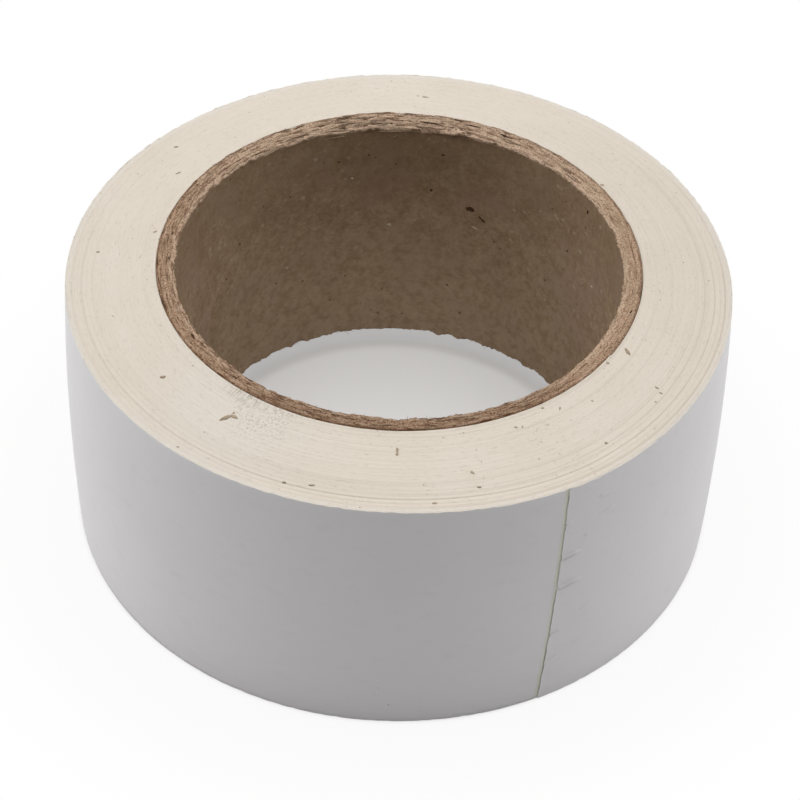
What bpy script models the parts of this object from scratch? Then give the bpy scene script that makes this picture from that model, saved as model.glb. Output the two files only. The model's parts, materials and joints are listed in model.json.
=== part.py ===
"""A roll of adhesive marking tape on a paperboard core.

Metres, +Z up. The roll stands on its lower end face at Z = 0 and its axis is the Z axis. The core has been pushed a
little way up through the winding, so both end faces rise towards it. The tape's cut end lies on the outside and can be
peeled back, in three links that turn about upright axes.
"""

import math

import bpy
from mathutils import Vector

MM = 0.001

# Core: a tube of three paper plies
CORE_BORE_DIAMETER = 76.2 * MM
CORE_WALL = 3.1 * MM
CORE_PLIES = ("core_inner_ply", "core_middle_ply", "core_outer_ply")
CORE_PUSHED_UP = 2.6 * MM

# Tape: core and tape are slit in one cut, so the tape's width is also the core's length
TAPE_WIDTH = 50.0 * MM
FILM_THICKNESS = 0.15 * MM
ROLL_DIAMETER = 114.0 * MM
RIM_LAND = 3.0 * MM
LAST_TURN_RAISED = 0.3 * MM

# Free end: where the cut edge lies, seen from above, and how far back it peels
FREE_END_ANGLE = math.radians(-62.0)
END_LINK_LENGTH = 10.0 * MM
END_LINKS = ("tape_end_root", "tape_end_middle", "tape_end_tip")
LAP_LENGTH = 12.0 * MM

# Clearances
SEAT_GAP = 0.3 * MM
LAP_GAP = 0.45 * MM
HINGE_GAP = 0.3 * MM

ROUND_STEPS = 120

# Derived places
ROLL_RADIUS = ROLL_DIAMETER / 2
CORE_BORE_RADIUS = CORE_BORE_DIAMETER / 2
CORE_RADIUS = CORE_BORE_RADIUS + CORE_WALL
END_ANGLE = len(END_LINKS) * END_LINK_LENGTH / ROLL_RADIUS
ROOT_ANGLE = FREE_END_ANGLE + END_ANGLE
WRAP_ANGLE = 2 * math.pi + LAP_LENGTH / ROLL_RADIUS
TURN_STEP = FILM_THICKNESS + LAP_GAP
PACK_RADIUS = ROLL_RADIUS - TURN_STEP * WRAP_ANGLE / (2 * math.pi) - FILM_THICKNESS - SEAT_GAP

COLOURS = {
    "core": (0.44, 0.33, 0.24),
    "tape_edge": (0.73, 0.67, 0.58),
    "film": (0.62, 0.61, 0.60),
}


def clear_scene():
    for old in list(bpy.data.objects):
        bpy.data.objects.remove(old, do_unlink=True)


def new_collection(name):
    collection = bpy.data.collections.new(name)
    bpy.context.scene.collection.children.link(collection)
    return collection


def new_material(name, colour, roughness):
    material = bpy.data.materials.new(name)
    material.use_nodes = True
    shader = material.node_tree.nodes["Principled BSDF"]
    shader.inputs["Base Color"].default_value = (*colour, 1.0)
    shader.inputs["Roughness"].default_value = roughness
    shader.inputs["Metallic"].default_value = 0.0
    return material


def polar(radius, angle):
    return Vector((radius * math.cos(angle), radius * math.sin(angle), 0.0))


def turned_ring(name, outline, material, collection):
    """A ring turned about Z from a closed outline of (radius, height) points, which runs down its outer side first."""
    points = [(radius, 0.0, height) for radius, height in outline]
    edges = [(i, (i + 1) % len(points)) for i in range(len(points))]
    mesh = bpy.data.meshes.new(name)
    mesh.from_pydata(points, edges, [])
    mesh.materials.append(material)
    ring = bpy.data.objects.new(name, mesh)
    collection.objects.link(ring)
    screw = ring.modifiers.new("turn", "SCREW")
    screw.axis = "Z"
    screw.steps = ROUND_STEPS
    screw.render_steps = ROUND_STEPS
    screw.use_merge_vertices = True
    screw.merge_threshold = 0.00001
    screw.use_smooth_shade = True
    return ring


def arc_steps(angle):
    return max(3, math.ceil(ROUND_STEPS * angle / (2 * math.pi)))


def spiral_points(start, sweep, start_radius, drop_per_turn):
    """Points of a spiral that turns counter-clockwise from start and closes in by drop_per_turn each turn."""
    steps = arc_steps(sweep)
    points = []
    for i in range(steps + 1):
        turned = sweep * i / steps
        points.append(polar(start_radius - drop_per_turn * turned / (2 * math.pi), start + turned))
    return points


def film_strip(name, outside, inside, origin, material, collection):
    """An upright strip of film between two runs of points, its own origin set at a point of the plan."""
    outline = outside + inside[::-1]
    curve = bpy.data.curves.new(name, "CURVE")
    curve.dimensions = "2D"
    curve.fill_mode = "BOTH"
    curve.extrude = TAPE_WIDTH / 2
    spline = curve.splines.new("POLY")
    spline.points.add(len(outline) - 1)
    for point, place in zip(spline.points, outline):
        local = place - origin
        point.co = (local.x, local.y, 0.0, 1.0)
    spline.use_cyclic_u = True
    curve.materials.append(material)
    strip = bpy.data.objects.new(name, curve)
    collection.objects.link(strip)
    return strip


def least_gap(points, thickness, skip):
    """The least clear distance of a strip to itself, between centre points more than skip steps apart."""
    nearest = min(
        (points[i] - points[j]).length
        for i in range(len(points))
        for j in range(i + skip, len(points))
    )
    return nearest - thickness


def build_core(material, collection):
    """Three paper tubes, one inside the other, standing proud of the winding at the top."""
    ply = (CORE_WALL - SEAT_GAP * (len(CORE_PLIES) - 1)) / len(CORE_PLIES)
    bottom = CORE_PUSHED_UP
    top = bottom + TAPE_WIDTH
    for i, name in enumerate(CORE_PLIES):
        inner = CORE_BORE_RADIUS + i * (ply + SEAT_GAP)
        outer = inner + ply
        turned_ring(name, [(outer, top), (outer, bottom), (inner, bottom), (inner, top)], material, collection)


def build_pack(material, collection):
    """The wound tape under the last turn: a flat land at the rim, then end faces that rise to the core."""
    inner = CORE_RADIUS + SEAT_GAP
    land = PACK_RADIUS - RIM_LAND
    outline = [
        (PACK_RADIUS, TAPE_WIDTH),
        (PACK_RADIUS, 0.0),
        (land, 0.0),
        (inner, CORE_PUSHED_UP),
        (inner, TAPE_WIDTH + CORE_PUSHED_UP),
        (land, TAPE_WIDTH),
    ]
    turned_ring("tape_pack", outline, material, collection)


def build_last_turn(material, collection):
    """The last turn of tape, one unbroken strip that starts at the free end's root and tucks in under itself."""
    start = ROOT_ANGLE + HINGE_GAP / 2 / ROLL_RADIUS
    outside = spiral_points(start, WRAP_ANGLE, ROLL_RADIUS, TURN_STEP)
    inside = spiral_points(start, WRAP_ANGLE, ROLL_RADIUS - FILM_THICKNESS, TURN_STEP)
    centre = spiral_points(start, WRAP_ANGLE, ROLL_RADIUS - FILM_THICKNESS / 2, TURN_STEP)
    wrap = film_strip("last_turn", outside, inside, Vector(), material, collection)
    wrap.location.z = LAST_TURN_RAISED + TAPE_WIDTH / 2
    gap = least_gap(centre, FILM_THICKNESS, ROUND_STEPS // 4)
    print(f"last_turn: least gap to itself {gap / MM:.2f} mm")


def build_free_end(material, collection):
    """Three links of the tape's free end, each on an upright hinge line at its edge nearer the roll."""
    link_angle = END_ANGLE / len(END_LINKS)
    half_gap = HINGE_GAP / 2 / ROLL_RADIUS
    parent = None
    parent_place = Vector()
    for i, name in enumerate(END_LINKS):
        hinge_angle = ROOT_ANGLE - i * link_angle
        hinge_place = polar(ROLL_RADIUS - FILM_THICKNESS / 2, hinge_angle)
        hinge = bpy.data.objects.new(name + "_hinge", None)
        hinge.empty_display_size = TAPE_WIDTH / 4
        hinge.location = hinge_place - parent_place
        hinge.parent = parent
        collection.objects.link(hinge)
        is_tip = i == len(END_LINKS) - 1
        start = hinge_angle - link_angle + (0.0 if is_tip else half_gap)
        sweep = hinge_angle - half_gap - start
        outside = spiral_points(start, sweep, ROLL_RADIUS, 0.0)
        inside = spiral_points(start, sweep, ROLL_RADIUS - FILM_THICKNESS, 0.0)
        link = film_strip(name, outside, inside, hinge_place, material, collection)
        link.location.z = LAST_TURN_RAISED + TAPE_WIDTH / 2
        link.parent = hinge
        parent = hinge
        parent_place = hinge_place


def main():
    clear_scene()
    parts = new_collection("tape_roll")
    core = new_material("core_paper", COLOURS["core"], 0.9)
    edge = new_material("tape_edge", COLOURS["tape_edge"], 0.6)
    film = new_material("tape_film", COLOURS["film"], 0.35)
    build_core(core, parts)
    build_pack(edge, parts)
    build_last_turn(film, parts)
    build_free_end(film, parts)


main()
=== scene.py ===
# %% [markdown]
# # A roll of white marking tape
#
# This notebook dresses a finished solid model. The solids say where everything is and how it moves:
# a paperboard core of three plies, the wound tape, its last turn, and a free end that peels back in
# three links. Here each of them gets the surface that the real roll has. The frame is loaded first.

# %% Load the frame
import json
import math
import random

import bmesh
import bpy
from mathutils import Matrix, Vector, noise
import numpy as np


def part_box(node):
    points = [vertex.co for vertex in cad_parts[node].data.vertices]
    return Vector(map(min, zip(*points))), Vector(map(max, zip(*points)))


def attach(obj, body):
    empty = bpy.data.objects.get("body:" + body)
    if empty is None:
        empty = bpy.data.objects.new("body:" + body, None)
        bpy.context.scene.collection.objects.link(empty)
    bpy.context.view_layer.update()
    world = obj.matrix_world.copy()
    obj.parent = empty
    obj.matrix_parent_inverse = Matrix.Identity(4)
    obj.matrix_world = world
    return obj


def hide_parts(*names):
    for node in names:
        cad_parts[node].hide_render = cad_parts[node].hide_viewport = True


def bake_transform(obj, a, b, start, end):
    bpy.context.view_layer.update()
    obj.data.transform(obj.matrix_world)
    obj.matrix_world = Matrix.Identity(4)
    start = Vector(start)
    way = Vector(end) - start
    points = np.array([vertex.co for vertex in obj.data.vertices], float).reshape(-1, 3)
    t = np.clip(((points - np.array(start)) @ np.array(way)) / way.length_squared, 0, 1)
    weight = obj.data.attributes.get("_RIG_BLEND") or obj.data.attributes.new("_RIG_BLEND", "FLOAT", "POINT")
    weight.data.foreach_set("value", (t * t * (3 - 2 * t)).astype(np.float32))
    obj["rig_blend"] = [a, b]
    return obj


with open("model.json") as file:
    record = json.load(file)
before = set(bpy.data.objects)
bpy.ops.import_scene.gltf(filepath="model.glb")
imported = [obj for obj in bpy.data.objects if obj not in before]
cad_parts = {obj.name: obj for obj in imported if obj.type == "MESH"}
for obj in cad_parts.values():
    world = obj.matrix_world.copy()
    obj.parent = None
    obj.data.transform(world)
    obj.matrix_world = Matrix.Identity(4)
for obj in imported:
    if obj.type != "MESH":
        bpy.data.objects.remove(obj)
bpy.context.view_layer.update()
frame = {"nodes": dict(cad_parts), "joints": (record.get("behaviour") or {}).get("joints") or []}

# %% [markdown]
# ## Measuring the solids
#
# Sizes are read off the solids instead of being typed in again. Most of them are distances from the
# roll's own axis, which is the Z axis, so one helper gives the least and the greatest distance of a
# node's points. The hinge lines of the free end come from the joints.

# %% Read sizes from the solids
MM = 0.001
TURN = 2 * math.pi


def reach(node):
    """Least and greatest distance of a node's points from the roll's axis."""
    distances = [math.hypot(v.co.x, v.co.y) for v in frame["nodes"][node].data.vertices]
    return min(distances), max(distances)


bore_radius = reach("core_inner_ply")[0]
core_radius = reach("core_outer_ply")[1]
film_inside, roll_radius = reach("tape_end_tip")
film_thickness = roll_radius - film_inside
core_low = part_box("core_inner_ply")[0].z
core_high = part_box("core_inner_ply")[1].z
tape_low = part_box("tape_pack")[0].z
tape_width = core_high - core_low
core_pushed_up = core_low - tape_low

hinge_points = {joint["child"]: Vector(joint["pos_m"]) for joint in frame["joints"]}
hinge_angles = {child: math.atan2(point.y, point.x) for child, point in hinge_points.items()}
link_angle = hinge_angles["end_root"] - hinge_angles["end_middle"]
cut_angle = hinge_angles["end_tip"] - link_angle
end_angle = hinge_angles["end_root"] - cut_angle
for name, radius in (("bore", bore_radius), ("core", core_radius), ("roll", roll_radius)):
    print(f"{name} {radius / MM:.2f} mm in radius")
print(f"film {film_thickness / MM:.3f} mm thick and {tape_width / MM:.1f} mm wide")
print(f"cut end at {math.degrees(cut_angle):.1f} degrees")

# %% [markdown]
# ## The camera
#
# The camera comes before the pieces, because a few of them are placed where the photograph shows
# them. Its numbers come from the round edges of the roll: how flat each ellipse looks gives the
# height of the eye, and how much the near side outgrows the far side gives the distance. The
# picture is 800 pixels square.

# %% Place the camera
IMAGE_SIDE = 800
FOCAL_PIXELS = 2444.0
EYE_DISTANCE = 437.1 * MM
EYE_ELEVATION = math.radians(43.72)
EYE_ROLL = 0.0364
AIM = Vector((0.93 * MM, 0.0, 19.87 * MM))
SENSOR_WIDTH = 36.0
NEAREST_SEEN = 10 * MM

level_right = Vector((1.0, 0.0, 0.0))
eye_back = Vector((0.0, -math.cos(EYE_ELEVATION), math.sin(EYE_ELEVATION)))
level_up = eye_back.cross(level_right)
eye_right = math.cos(EYE_ROLL) * level_right + math.sin(EYE_ROLL) * level_up
eye_up = math.cos(EYE_ROLL) * level_up - math.sin(EYE_ROLL) * level_right
eye = AIM + EYE_DISTANCE * eye_back

lens = bpy.data.cameras.new("eye")
lens.sensor_width = SENSOR_WIDTH
lens.lens = FOCAL_PIXELS / IMAGE_SIDE * SENSOR_WIDTH
lens.clip_start = NEAREST_SEEN
camera = bpy.data.objects.new("eye", lens)
bpy.context.scene.collection.objects.link(camera)
camera.matrix_world = Matrix((eye_right, eye_up, eye_back)).transposed().to_4x4()
camera.location = eye
bpy.context.scene.camera = camera
print(f"lens {lens.lens:.1f} mm at {EYE_DISTANCE / MM:.0f} mm")

# %% [markdown]
# ## Writing materials as sums
#
# A material is a small program made of nodes. Wiring nodes one by one hides what the program says,
# so a small class wraps an output socket and lets Python's own operators add the Math nodes.

# %% A class for shader maths
class Signal:
    """A value that flows through a material's nodes."""

    def __init__(self, finish, socket):
        self.finish = finish
        self.socket = socket

    def math(self, operation, first, second=0.0, clamp=False):
        settings = {"operation": operation, "use_clamp": clamp}
        return self.finish.node("ShaderNodeMath", settings, {0: first, 1: second})

    def __add__(self, other):
        return self.math("ADD", self, other)

    def __radd__(self, other):
        return self.math("ADD", other, self)

    def __sub__(self, other):
        return self.math("SUBTRACT", self, other)

    def __rsub__(self, other):
        return self.math("SUBTRACT", other, self)

    def __mul__(self, other):
        return self.math("MULTIPLY", self, other)

    def __rmul__(self, other):
        return self.math("MULTIPLY", other, self)

    def __truediv__(self, other):
        return self.math("DIVIDE", self, other)

    def clamped(self):
        return self.math("ADD", self, 0.0, clamp=True)

    def above(self, low, high):
        """0 below low, 1 above high, and smooth between them."""
        settings = {"interpolation_type": "SMOOTHSTEP"}
        sockets = {"Value": self, "From Min": low, "From Max": high}
        return self.finish.node("ShaderNodeMapRange", settings, sockets)

    def below(self, low, high):
        """1 below low, 0 above high, and smooth between them."""
        return 1.0 - self.above(low, high)


print("shader maths ready")

# %% [markdown]
# A second class holds a material. Every kind of node other than Math goes through one of its
# methods, which takes the node's type, its settings and what feeds its sockets. The methods after
# it name the few kinds that the finishes below use.

# %% A class for finishes
class Finish:
    """A material and the nodes that it is made of."""

    def __init__(self, name, roughness, specular=0.5):
        self.material = bpy.data.materials.new(name)
        self.material.use_nodes = True
        self.tree = self.material.node_tree
        self.shader = self.tree.nodes["Principled BSDF"]
        self.shader.inputs["Roughness"].default_value = roughness
        self.shader.inputs["Specular IOR Level"].default_value = specular

    def node(self, kind, settings=None, inputs=None, output=0):
        """Adds one node, sets it up, feeds its sockets and returns one of its outputs."""
        made = self.tree.nodes.new(kind)
        for key, value in (settings or {}).items():
            setattr(made, key, value)
        for key, value in (inputs or {}).items():
            self.feed(made.inputs[key], value)
        return Signal(self, made.outputs[output])

    def feed(self, socket, value):
        if isinstance(value, Signal):
            self.tree.links.new(value.socket, socket)
        else:
            socket.default_value = value

    def place(self):
        return self.node("ShaderNodeTexCoord", output="Object")

    def parts(self, vector):
        split = self.node("ShaderNodeSeparateXYZ", inputs={0: vector}).socket.node
        return [Signal(self, socket) for socket in split.outputs]

    def joined(self, x, y, z):
        return self.node("ShaderNodeCombineXYZ", inputs={0: x, 1: y, 2: z})

    def value_of(self, name):
        """A number that the mesh carries at its points."""
        return self.node("ShaderNodeAttribute", {"attribute_name": name}, output="Fac")

    def grain(self, vector, scale, detail=3.0, roughness=0.55):
        """Noise from 0 to 1, most of it near a half."""
        sockets = {"Vector": vector, "Scale": scale, "Detail": detail, "Roughness": roughness}
        return self.node("ShaderNodeTexNoise", {"noise_dimensions": "3D"}, sockets)

    def specks(self, vector, scale):
        """Distance to the nearest of many scattered points, in cells."""
        sockets = {"Vector": vector, "Scale": scale}
        return self.node("ShaderNodeTexVoronoi", {"feature": "F1"}, sockets)

    def distance(self, vector, centre):
        settings = {"operation": "DISTANCE"}
        return self.node("ShaderNodeVectorMath", settings, {0: vector, 1: centre}, output="Value")

    def length(self, vector):
        return self.node("ShaderNodeVectorMath", {"operation": "LENGTH"}, {0: vector}, output="Value")

    def mix(self, share, first, second):
        """A colour between two colours."""
        made = self.node("ShaderNodeMix", {"data_type": "RGBA", "clamp_factor": True}).socket.node
        self.feed(made.inputs[0], share)
        for socket, colour in ((made.inputs[6], first), (made.inputs[7], second)):
            self.feed(socket, colour if isinstance(colour, Signal) else (*colour, 1.0))
        return Signal(self, made.outputs[2])

    def bump(self, height, strength, distance):
        sockets = {"Height": height, "Strength": strength, "Distance": distance}
        self.feed(self.shader.inputs["Normal"], self.node("ShaderNodeBump", inputs=sockets))

    def set(self, socket, value):
        self.feed(self.shader.inputs[socket], value)


print("finishes ready")

# %% [markdown]
# ## Round coordinates
#
# Paper plies and tape edges run round the roll, so their streaks have to run round it too. A noise
# that is read on the angle would show a seam where the angle jumps. Reading it on the unit
# direction and the radius gives the same streaks with no seam: a small number for the direction
# makes them long, and a large one for the radius makes them thin.

# %% A helper for streaks that run round the axis
def round_coordinates(finish, round_scale, radius_scale, height_scale):
    """A vector whose noise is drawn out round the Z axis, and the distance from that axis."""
    x, y, z = finish.parts(finish.place())
    radius = finish.length(finish.joined(x, y, 0.0))
    depth = radius * radius_scale + z * height_scale
    return finish.joined(x / radius * round_scale, y / radius * round_scale, depth), radius


print("round coordinates ready")

# %% [markdown]
# ## Slit film edges
#
# The end faces of the roll are a hundred edges of film side by side. Seen together they are cream,
# warmer than the film's face, because light sinks in between the layers and comes back through the
# adhesive. The mesh below carries three numbers for this finish: how deep a point lies in a groove,
# which painted shade darkens, a tone that drifts along the strip, and how near it is to the rim, where
# a painted highlight makes the edges paler. At the front left the face was rubbed against something,
# which left a comb of short ridges beside the core and specks of dirt next to them.

# %% Finish for the slit edges
CREAM = (0.830, 0.742, 0.629)
CREAM_PALE = (0.870, 0.792, 0.694)
CREAM_SHADE = (0.520, 0.435, 0.345)
CREAM_RUBBED_AND_LIT = (0.870, 0.815, 0.740)
SCUFF_GREY = (0.400, 0.335, 0.255)
COMB_PLACE = (-23.8 * MM, -34.8 * MM, 52.4 * MM)
SPECK_PLACE = (-20.9 * MM, -37.6 * MM, 52.3 * MM)


def slit_edge_finish():
    finish = Finish("slit_film_edges", roughness=0.62, specular=0.35)
    long_streaks, radius = round_coordinates(finish, 5.0, 5200.0, 900.0)
    short_streaks, _ = round_coordinates(finish, 44.0, 4600.0, 700.0)
    across, _ = round_coordinates(finish, 230.0, 420.0, 0.0)
    place = finish.place()
    groove = finish.value_of("groove")
    tone = finish.value_of("tone")
    rim = finish.value_of("rim")
    long_lines = finish.grain(long_streaks, 1.0, detail=2.0)
    short_lines = finish.grain(short_streaks, 1.0, detail=3.0)
    ridges = finish.grain(across, 1.0, detail=2.0)
    clouds = finish.grain(place, 85.0, detail=2.0)
    pits = finish.grain(place, 1900.0, detail=2.0)
    from_comb = finish.distance(place, COMB_PLACE)
    comb = from_comb.below(2.5 * MM, 5.5 * MM) * radius.below(42.6 * MM, 43.6 * MM)
    from_specks = finish.distance(place, SPECK_PLACE) + (clouds - 0.5) * (6 * MM)
    speckled = from_specks.below(2.5 * MM, 8.0 * MM)
    pale = (tone * 0.5 + 0.5 + (clouds - 0.5) * 1.2).clamped()
    colour = finish.mix(pale, CREAM, CREAM_PALE)
    colour = finish.mix(from_comb.below(4 * MM, 24 * MM) * 0.5, colour, CREAM_RUBBED_AND_LIT)
    # Towards the rim the slit edges are paler: a painted highlight where the rim's edge catches the light.
    colour = finish.mix(rim * 0.75, colour, CREAM_RUBBED_AND_LIT)
    lines = (long_lines.above(0.58, 0.76) * 0.14 + short_lines.above(0.54, 0.74) * 0.34).clamped()
    colour = finish.mix(lines, colour, CREAM_SHADE)
    # In the grooves the colour is darkened: painted shade, where less light gets down.
    colour = finish.mix((groove * 0.7).clamped(), colour, CREAM_SHADE)
    colour = finish.mix(comb * ridges.above(0.50, 0.62) * 0.55, colour, SCUFF_GREY)
    dirt = pits.above(0.60, 0.72) * finish.grain(place, 150.0).above(0.52, 0.70) * 0.45
    dirt = dirt + finish.grain(place, 2700.0).above(0.52, 0.63) * speckled * 0.45
    colour = finish.mix(dirt.clamped(), colour, SCUFF_GREY)
    finish.set("Base Color", colour)
    finish.set("Roughness", 0.55 + short_lines * 0.2)
    relief = long_lines * 0.4 + short_lines * 0.4 + pits * 0.15 + ridges * comb * 1.2
    finish.bump(relief, 0.60, 0.12 * MM)
    return finish.material


slit_edges = slit_edge_finish()
print(slit_edges.name, len(slit_edges.node_tree.nodes), "nodes")

# %% [markdown]
# ## White film
#
# The face of the film is a smooth vinyl skin, neutral white, with a satin gloss. Handling leaves
# faint marks and a very slight unevenness that only shows in the gloss. Next to the cut end a
# narrow band is tinted by adhesive that has crept out from under it, and a thin dark line half a
# millimetre before the cut is painted shade of the gap at the cut end, so the mesh carries the
# distance from that cut. A few dark specks are dirt.

# %% Finish for the film's face
FILM_WHITE = (0.800, 0.782, 0.790)
FILM_MARK = (0.715, 0.700, 0.705)
ADHESIVE_TINT = (0.840, 0.850, 0.665)
GAP_SHADE_AND_SPECKS = (0.300, 0.290, 0.260)


def film_finish():
    finish = Finish("white_film", roughness=0.40, specular=0.45)
    place = finish.place()
    draw_lines, _ = round_coordinates(finish, 14.0, 0.0, 420.0)
    from_cut = finish.value_of("from_cut")
    clouds = finish.grain(place, 46.0, detail=3.0)
    marks = finish.grain(draw_lines, 1.0, detail=4.0)
    peel = finish.grain(place, 900.0, detail=1.0)
    handled = marks.above(0.52, 0.80) * 0.35 + clouds.above(0.45, 0.75) * 0.15
    colour = finish.mix(handled, FILM_WHITE, FILM_MARK)
    ragged = from_cut + (finish.grain(place, 420.0) - 0.5) * 0.5
    tint = ragged.above(-0.75, -0.35) * from_cut.below(-0.02, 0.02)
    colour = finish.mix(tint * 0.60, colour, ADHESIVE_TINT)
    # A thin ragged line half a millimetre before the cut is painted shade of the gap at the cut end.
    gap_shade_line = ragged.above(-0.60, -0.50) * ragged.below(-0.50, -0.40)
    colour = finish.mix(gap_shade_line * finish.grain(place, 120.0).above(0.44, 0.56) * 0.28, colour, GAP_SHADE_AND_SPECKS)
    dots = finish.specks(place, 210.0).below(0.02, 0.055) * finish.grain(place, 60.0).above(0.60, 0.64)
    colour = finish.mix(dots * 0.5, colour, GAP_SHADE_AND_SPECKS)
    finish.set("Base Color", colour)
    finish.set("Roughness", 0.34 + clouds * 0.10 + marks * 0.06)
    finish.bump(clouds * 0.5 + marks * 0.35 + peel * 0.1, 0.25, 0.06 * MM)
    return finish.material


white_film = film_finish()
print(white_film.name, len(white_film.node_tree.nodes), "nodes")

# %% [markdown]
# ## Adhesive
#
# The inner side of the film carries a thin coat of rubber adhesive. It shows only when the free end
# is peeled back: yellowish, wetter than the film, and streaked across the way it was pulled.

# %% Finish for the sticky side
ADHESIVE = (0.740, 0.710, 0.610)
ADHESIVE_THICK = (0.660, 0.610, 0.480)


def adhesive_finish():
    finish = Finish("adhesive_coat", roughness=0.30, specular=0.5)
    place = finish.place()
    pull, _ = round_coordinates(finish, 60.0, 0.0, 160.0)
    strings = finish.grain(pull, 1.0, detail=4.0)
    blobs = finish.grain(place, 380.0, detail=2.0)
    finish.set("Base Color", finish.mix(strings.above(0.42, 0.66), ADHESIVE, ADHESIVE_THICK))
    finish.set("Roughness", 0.22 + blobs * 0.25)
    finish.bump(strings * 0.7 + blobs * 0.3, 0.5, 0.08 * MM)
    return finish.material


adhesive_coat = adhesive_finish()
print(adhesive_coat.name, len(adhesive_coat.node_tree.nodes), "nodes")

# %% [markdown]
# ## Paperboard
#
# The core is grey-brown board made from waste paper. Its bore shows the sheet's face: fine fibres,
# pale flecks of paper and a few dark ones. Painted shade darkens it towards the top, and it is paler
# low down at the back. The face's colour is laid on in layers, each one mixed in by a grain of its own.

# %% Face of the board
BOARD_FACE = (0.512, 0.384, 0.264)
BOARD_FACE_DARK = (0.315, 0.214, 0.132)
BOARD_FACE_RED = (0.430, 0.312, 0.233)
BOARD_FACE_PALE_LOW = (0.640, 0.510, 0.375)
BOARD_FACE_DEEP = (0.205, 0.132, 0.068)
BOARD_PALE_FLECK = (0.600, 0.510, 0.395)
BOARD_DARK_FLECK = (0.035, 0.022, 0.015)


def board_face(finish, radius, mottle, fibres):
    """Colour of the sheet's face, as the bore shows it."""
    place = finish.place()
    _, y, z = finish.parts(place)
    clouds = finish.grain(place, 260.0, detail=3.0)
    blend = mottle.above(0.34, 0.66) * 0.38 + clouds.above(0.36, 0.64) * 0.34
    blend = blend + fibres.above(0.38, 0.62) * 0.30
    face = finish.mix((blend + 0.05).clamped(), BOARD_FACE_DARK, BOARD_FACE)
    face = finish.mix(finish.grain(place, 110.0).above(0.48, 0.62) * 0.65, face, BOARD_FACE_RED)
    # Painted shade: the bore's wall is darker towards the top.
    face = finish.mix(z.above(core_high - 24 * MM, core_high - 2 * MM) * 0.44, face, BOARD_FACE_DEEP)
    # Paler low down at the back of the bore.
    pale_low = z.below(core_low + 8 * MM, core_high - 12 * MM) * (y / radius).above(0.20, 0.80)
    face = finish.mix(pale_low * 0.36, face, BOARD_FACE_PALE_LOW)
    patches = finish.grain(place, 640.0, detail=4.0, roughness=0.65).above(0.42, 0.70)
    face = finish.mix(patches * 0.32, face, BOARD_FACE_DEEP)
    pale_spot = finish.specks(place, 430.0).below(0.10, 0.26) * finish.grain(place, 330.0).above(0.49, 0.59)
    hair = fibres.above(0.64, 0.72) * clouds.above(0.50, 0.60)
    face = finish.mix((pale_spot * 0.42 + hair * 0.45).clamped(), face, BOARD_PALE_FLECK)
    dark_spot = finish.specks(place, 480.0).below(0.06, 0.15) * finish.grain(place, 240.0).above(0.52, 0.60)
    return finish.mix(dark_spot * 0.75, face, BOARD_DARK_FLECK)


print("face of the board ready")

# %% [markdown]
# The ends of the core show the sheet cut across: paler, redder, and torn into strands that run
# round the tube. Painted light makes them paler at the right, where their dark strands are fainter,
# and brightest at the back. Painted shade darkens them at the front, and a painted shadow darkens
# them where the tape begins.

# %% Sawn end of the board
BOARD_END = (0.425, 0.270, 0.170)
BOARD_END_PALE = (0.645, 0.475, 0.343)
BOARD_CRACK_AND_SHADE = (0.118, 0.055, 0.026)


def board_end(finish, radius, mottle, strand, grit):
    """Colour of the sawn end with its painted light and shade, and how torn it still is: less at the right.
    """
    x, y, _ = finish.parts(finish.place())
    long_strands, _ = round_coordinates(finish, 11.0, 2500.0, 900.0)
    long_strand = finish.grain(long_strands, 1.0, detail=3.0)
    # Painted light and shade: paler at the right and at the back, darker at the front.
    lit_right = (x / radius).above(0.40, 0.95)
    front_shade = (y / radius).below(-0.95, -0.55)
    ragged = radius + (strand - 0.5) * (1.6 * MM)
    lip = ragged.below(bore_radius + 0.4 * MM, bore_radius + 1.3 * MM)
    lit = lip * mottle.above(0.36, 0.58) * 0.7 + grit.above(0.44, 0.62) * 0.58
    lit = lit + long_strand.below(0.38, 0.46) * 0.35
    bright = lit_right * 0.14 + (y / radius).above(0.20, 0.95) * 0.60
    end = finish.mix((lit + bright).clamped(), BOARD_END, BOARD_END_PALE)
    torn = 1.0 - lit_right * 0.75
    dark = (strand.above(0.57, 0.70) * 0.45 + long_strand.above(0.56, 0.62) * 0.50) * torn
    # A painted shadow darkens the outer edge, where the core meets the tape.
    gap_shade = radius.above(core_radius - 0.55 * MM, core_radius - 0.15 * MM)
    dark = dark + grit.below(0.34, 0.46) * 0.62 + front_shade * 0.26 + gap_shade * 0.42
    return finish.mix(dark.clamped(), end, BOARD_CRACK_AND_SHADE), torn


print("sawn end of the board ready")

# %% [markdown]
# One finish does both, because the mesh says how much of a point is cut end and how dark a crack
# runs there. The grains that both halves read are made once and handed to them.

# %% Finish for the core
def board_finish():
    finish = Finish("paperboard", roughness=0.92, specular=0.15)
    strands, radius = round_coordinates(finish, 30.0, 3300.0, 1200.0)
    lying, _ = round_coordinates(finish, 60.0, 0.0, 4200.0)
    mottle = finish.grain(finish.place(), 1250.0, detail=3.0, roughness=0.6)
    grit = finish.grain(finish.place(), 3600.0, detail=2.0)
    fibres = finish.grain(lying, 1.0, detail=3.0)
    strand = finish.grain(strands, 1.0, detail=4.0, roughness=0.65)
    cut_end = finish.value_of("cut_end")
    face = board_face(finish, radius, mottle, fibres)
    end, torn = board_end(finish, radius, mottle, strand, grit)
    colour = finish.mix(cut_end, face, end)
    # Where the surface is deep the cracks get painted shade, fainter at the right.
    finish.set("Base Color", finish.mix(finish.value_of("crack") * torn, colour, BOARD_CRACK_AND_SHADE))
    finish.set("Roughness", 0.82 + mottle * 0.15)
    relief = mottle * 0.35 + fibres * 0.25 + (strand * -0.9 + grit * 0.6) * cut_end
    finish.bump(relief, 0.7, 0.16 * MM)
    return finish.material


paperboard = board_finish()
print(paperboard.name, len(paperboard.node_tree.nodes), "nodes")

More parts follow.
